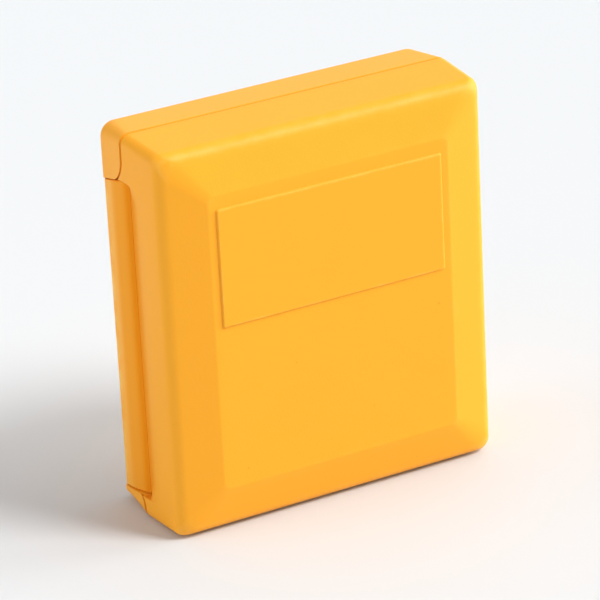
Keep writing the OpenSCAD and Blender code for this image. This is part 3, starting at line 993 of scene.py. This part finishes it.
def buildRailTree():
    f = railForm
    tree, given, sink = newTree("bladeRail", "Geometry", [
        ("Clips", "Int", f["clips"]), ("Pitch", "Float", f["pitch"] * mm),
        ("Clip radius", "Float", f["midRadius"] * mm), ("Clip thickness", "Float", f["clipThickness"] * mm),
        ("Rail width", "Float", f["width"] * mm), ("Bar thickness", "Float", f["barThickness"] * mm),
        ("Bar length", "Float", f["length"] * mm), ("Mouth", "Float", math.radians(f["mouth"])),
        ("Bar drop", "Float", f["barDrop"] * mm), ("Material", "Material", None)], [("Geometry", "Geometry")])

    def add(kind, inputs, **settings):
        return newNode(tree, kind, inputs, **settings).outputs

    def calc(operation, *values):
        return mathNode(tree, operation, *values)

    def vector(**parts):
        return add("ShaderNodeCombineXYZ", parts)[0]

    # a curve swept by a rectangle with rounded corners
    def swept(curve, thickness, rounding):
        section = add("GeometryNodeCurvePrimitiveQuadrilateral",
                      {"Width": thickness, "Height": given["Rail width"]}, mode="RECTANGLE")[0]
        rounded = add("GeometryNodeFilletCurve", {
            "Curve": section, "Count": 3, "Radius": rounding * mm}, mode="POLY")
        return add("GeometryNodeCurveToMesh", {
            "Curve": curve, "Profile Curve": rounded["Curve"], "Fill Caps": True})["Mesh"]

    # one clip: an arc open to the front
    arc = add("GeometryNodeCurveArc", {
        "Resolution": f["clipSteps"], "Radius": given["Clip radius"],
        "Start Angle": calc("SUBTRACT", given["Mouth"], rightAngle),
        "Sweep Angle": calc("SUBTRACT", tau, calc("MULTIPLY", given["Mouth"], 2.0))}, mode="RADIUS")
    clip = swept(arc["Curve"], given["Clip thickness"], f["clipRound"])

    # the lips thin out and open a little towards the mouth
    parts = add("ShaderNodeSeparateXYZ", {0: add("GeometryNodeInputPosition", {})[0]})
    x, y = parts["X"], parts["Y"]
    reach = calc("POWER", calc("ADD", calc("POWER", x, 2.0), calc("POWER", y, 2.0)), 0.5)
    turn = calc("ARCTAN2", calc("ABSOLUTE", x), calc("MULTIPLY", y, -1.0))
    ease = add("ShaderNodeMapRange", {
        "Value": calc("SUBTRACT", turn, given["Mouth"]), "From Min": 0.0, "From Max": f["lipTurn"],
        "To Min": f["thinnest"], "To Max": 1.0}, interpolation_type="SMOOTHSTEP")[0]
    off = calc("MULTIPLY", calc("SUBTRACT", reach, given["Clip radius"]), ease)
    flare = calc("MULTIPLY", calc("SUBTRACT", 1.0, ease), f["flare"] * mm)
    ratio = calc("DIVIDE", calc("ADD", calc("ADD", given["Clip radius"], off), flare), reach)
    newPlace = vector(X=calc("MULTIPLY", x, ratio), Y=calc("MULTIPLY", y, ratio), Z=parts["Z"])
    shaped = add("GeometryNodeSetPosition", {"Geometry": clip, "Position": newPlace})

    # the row of clips
    span = calc("MULTIPLY", calc("SUBTRACT", given["Clips"], 1.0), given["Pitch"])
    row = add("GeometryNodeMeshLine", {
        "Count": given["Clips"], "Start Location": vector(X=calc("MULTIPLY", span, -0.5)),
        "Offset": vector(X=given["Pitch"])}, mode="OFFSET")
    copies = add("GeometryNodeInstanceOnPoints", {"Points": row["Mesh"], "Instance": shaped["Geometry"]})

    # the bar under them
    half = calc("MULTIPLY", given["Bar length"], 0.5)
    bar = add("GeometryNodeCurvePrimitiveLine", {
        "Start": vector(X=calc("MULTIPLY", half, -1.0), Y=given["Bar drop"]),
        "End": vector(X=half, Y=given["Bar drop"])})
    barMesh = swept(bar["Curve"], given["Bar thickness"], f["barRound"])

    both = newNode(tree, "GeometryNodeJoinGeometry", {"Geometry": copies["Instances"]})
    feed(tree, both, {"Geometry": barMesh})
    real = add("GeometryNodeRealizeInstances", {"Geometry": both.outputs[0]})
    finished = add("GeometryNodeSetMaterial", {"Geometry": real["Geometry"], "Material": given["Material"]})
    feed(tree, sink, {"Geometry": finished["Geometry"]})
    return tree


# runs a node tree on an empty mesh and gives back its result as a plain mesh
def bakedFromTree(name, tree, settings):
    holder = linked(bpy.data.objects.new(name + "_source", bpy.data.meshes.new(name + "_source")))
    modifier = holder.modifiers.new("grow", "NODES")
    modifier.node_group = tree
    for item in tree.interface.items_tree:
        if item.item_type == "SOCKET" and item.in_out == "INPUT" and item.name in settings:
            modifier[item.identifier] = settings[item.name]
    graph = bpy.context.evaluated_depsgraph_get()
    mesh = bpy.data.meshes.new_from_object(holder.evaluated_get(graph))
    bpy.data.objects.remove(holder)
    mesh.name = name
    return mesh


railTree = buildRailTree()
for level, height in railForm["heights"].items():
    railMesh = bakedFromTree(f"rail_{level}", railTree, {
        "Material": finishes["charcoal_plastic"], "Clips": railForm["clips"]})
    edgeValues = railMesh.attributes.new("wearAndPaintedLight", "FLOAT", "POINT")
    wornEdge = railForm["wornEdge"] * mm
    edgeStart = railForm["width"] / 2 * mm - wornEdge
    edgeValues.data.foreach_set("value", [
        smooth((abs(v.co.z) - edgeStart) / wornEdge) for v in railMesh.vertices])
    railMesh.transform(Matrix.Translation(point(railForm["middleX"], railForm["barrelHeight"], height)))
    shadedPiece(railMesh, "back_shell", "charcoal_plastic", 40, replaced=(f"blade_rail_{level}",))
print("rails:", len(railMesh.polygons), "faces each")


pegForm = {"xs": (-24.2, 26.2), "radius": 1.25, "head": 0.8, "headRadius": 1.9, "steps": 28}
ribForm = {"heights": (34.0, 56.0), "thickness": 1.6, "barrel": 4.7, "foot": 12.775, "edge": 0.25}


# mushroom heads, melted down over the rails
def buildPegs():
    top, r, steps = caseForm["wall"] + railForm["barThickness"], pegForm["headRadius"], pegForm["steps"]
    profile = [(pegForm["radius"], caseForm["wall"] - 0.4), (pegForm["radius"], top - 0.02),
               (r - 0.1, top - 0.01), (r, top + 0.08), (r - 0.03, top + 0.22)]
    profile += [(r * math.cos(a) * 0.97, top + 0.2 + (pegForm["head"] - 0.2) * math.sin(a))
                for a in spread(0.15, 1.45, 6)]
    bm = bmesh.new()
    turns = [tau * i / steps for i in range(steps)]
    for x in pegForm["xs"]:
        for z in railForm["heights"].values():
            addSkin(bm, [([point(x + wide * math.cos(a), u, z + wide * math.sin(a)) for a in turns],
                          [0.6 if k == 4 else 0.0] * steps) for k, (wide, u) in enumerate(profile)])
    bmesh.ops.recalc_face_normals(bm, faces=bm.faces)
    return meshFrom(bm, "rail_pegs")


# two plates across the cover, cut out round the stored barrels
def buildRibs():
    barrelU, clips, pitch = railForm["barrelHeight"], railForm["clips"], railForm["pitch"]
    first = railForm["middleX"] - pitch * (clips - 1) / 2
    last = first + (clips - 1) * pitch
    swing = math.acos((ribForm["foot"] - barrelU) / ribForm["barrel"])
    outline = []
    for i in range(clips):
        for a in spread(-swing, swing, 14):
            if (i > 0 or a >= -1e-6) and (i < clips - 1 or a <= 1e-6):
                outline.append((first + i * pitch + ribForm["barrel"] * math.sin(a),
                                barrelU + ribForm["barrel"] * math.cos(a)))
    ceiling = caseForm["coverFace"] - caseForm["wall"] + 0.3
    outline += [(last, ceiling), (first, ceiling)]
    bm = bmesh.new()
    half = ribForm["thickness"] / 2
    for z in ribForm["heights"]:
        addSkin(bm, [([point(x, u, z + s) for x, u in outline], [0.0] * len(outline)) for s in (-half, half)])
    bmesh.ops.recalc_face_normals(bm, faces=bm.faces)
    rims = [e for e in bm.edges if abs(e.verts[0].co.z - e.verts[1].co.z) < 1e-7]
    bmesh.ops.bevel(bm, geom=rims, offset=ribForm["edge"] * mm, segments=2, affect="EDGES", profile=0.5)
    return meshFrom(bm, "hold_down_ribs")


shadedPiece(buildPegs(), "back_shell", "amber_plastic", 50)
shadedPiece(buildRibs(), "front_cover", "amber_plastic", 50)
print("pegs and ribs ready")


studio = {
    "floorColour": (0.70, 0.718, 0.732),
    "floorSize": 3.0,
    "whiteSeen": (0.98, 0.98, 0.975),
    "roomAll": 0.10,
    # direction, strength and narrowness of the bright parts of the room
    "roomGlow": (((0.0, 1.0, 0.0), 0.25, 1.0), ((0.44, 0.88, 0.06), 1.4, 13.0),
                 ((0.72, -0.69, 0.0), 0.42, 3.4), ((-0.82, -0.57, 0.1), 0.16, 7.0),
                 ((-0.7, 0.1, 0.7), 0.12, 5.0), ((-0.96, -0.02, 0.28), 0.60, 2.8),
                 ((0.98, 0.0, 0.2), 1.25, 3.0)),
    # name, direction, strength and angle of the lamps
    "lamps": (("keySoftbox", (0.475, -0.52, 0.71), 2.3, 22),
              ("sideSoftbox", (0.965, -0.20, 0.16), 2.2, 30),
              ("fillSoftbox", (-0.96, 0.20, 0.16), 0.85, 40),
              ("topSoftbox", (0.05, 0.25, 0.96), 0.42, 60)),
}


def buildStudio():
    bm = bmesh.new()
    bmesh.ops.create_grid(bm, x_segments=2, y_segments=2, size=studio["floorSize"])
    floorMesh = meshFrom(bm, "floor")
    floor = linked(bpy.data.objects.new("floor", floorMesh))
    paper = bpy.data.materials.new("paperFloor")
    paper.use_nodes = True
    feed(paper.node_tree, paper.node_tree.nodes["Principled BSDF"], {
        "Base Color": (*studio["floorColour"], 1.0), "Roughness": 0.95, "Specular IOR Level": 0.1})
    floorMesh.materials.append(paper)

    world = bpy.data.worlds.new("softRoom")
    bpy.context.scene.world = world
    world.use_nodes = True
    tree = world.node_tree
    heading = newNode(tree, "ShaderNodeTexCoord", {}).outputs["Generated"]
    total = studio["roomAll"]
    for axis, strength, narrowness in studio["roomGlow"]:
        facing = newNode(tree, "ShaderNodeVectorMath", {0: heading, 1: axis}, operation="DOT_PRODUCT")
        lobe = mathNode(tree, "POWER", mathNode(tree, "MAXIMUM", facing.outputs["Value"], 0.0), narrowness)
        total = mathNode(tree, "ADD", mathNode(tree, "MULTIPLY", lobe, strength), total)
    room = feed(tree, tree.nodes["Background"], {"Strength": total, "Color": (1.0, 1.0, 1.0, 1.0)})
    white = newNode(tree, "ShaderNodeBackground", {"Color": (*studio["whiteSeen"], 1.0), "Strength": 1.0})
    rays = newNode(tree, "ShaderNodeLightPath", {}).outputs
    seen = mathNode(tree, "MAXIMUM", rays["Is Camera Ray"], rays["Is Transmission Ray"])
    either = newNode(tree, "ShaderNodeMixShader", {"Fac": seen, 1: room.outputs[0], 2: white.outputs[0]})
    feed(tree, tree.nodes["World Output"], {"Surface": either.outputs[0]})

    for name, source, strength, angle in studio["lamps"]:
        lamp = bpy.data.lights.new(name, "SUN")
        lamp.energy = strength
        lamp.angle = math.radians(angle)
        holder = linked(bpy.data.objects.new(name, lamp))
        holder.rotation_euler = Vector(source).to_track_quat("Z", "Y").to_euler()


cameraPlace = {
    "yaw": 27.83,
    "pitch": 23.81,
    "roll": -3.04,
    "distance": 911.19,
    "target": (-9.14, -16.0, 53.86),
    "lens": 240.0,
}


def buildCamera():
    c = cameraPlace
    yaw, pitch, roll = (math.radians(c[k]) for k in ("yaw", "pitch", "roll"))
    ahead = Vector((math.sin(yaw) * math.cos(pitch), math.cos(yaw) * math.cos(pitch), -math.sin(pitch)))
    right = Vector((math.cos(yaw), -math.sin(yaw), 0.0))
    up = right.cross(ahead)
    rolledRight = math.cos(roll) * right + math.sin(roll) * up
    rolledUp = -math.sin(roll) * right + math.cos(roll) * up
    lens = bpy.data.cameras.new("camera")
    lens.lens = c["lens"]
    lens.sensor_width = 36.0
    lens.sensor_fit = "HORIZONTAL"
    lens.clip_start, lens.clip_end = 0.01, 20.0
    camera = linked(bpy.data.objects.new("camera", lens))
    turn = Matrix((rolledRight, rolledUp, -ahead)).transposed().to_4x4()
    camera.matrix_world = Matrix.Translation((Vector(c["target"]) - ahead * c["distance"]) * mm) @ turn
    bpy.context.scene.camera = camera


buildStudio()
buildCamera()
bpy.context.scene.view_settings.view_transform = "Standard"

print("finished")
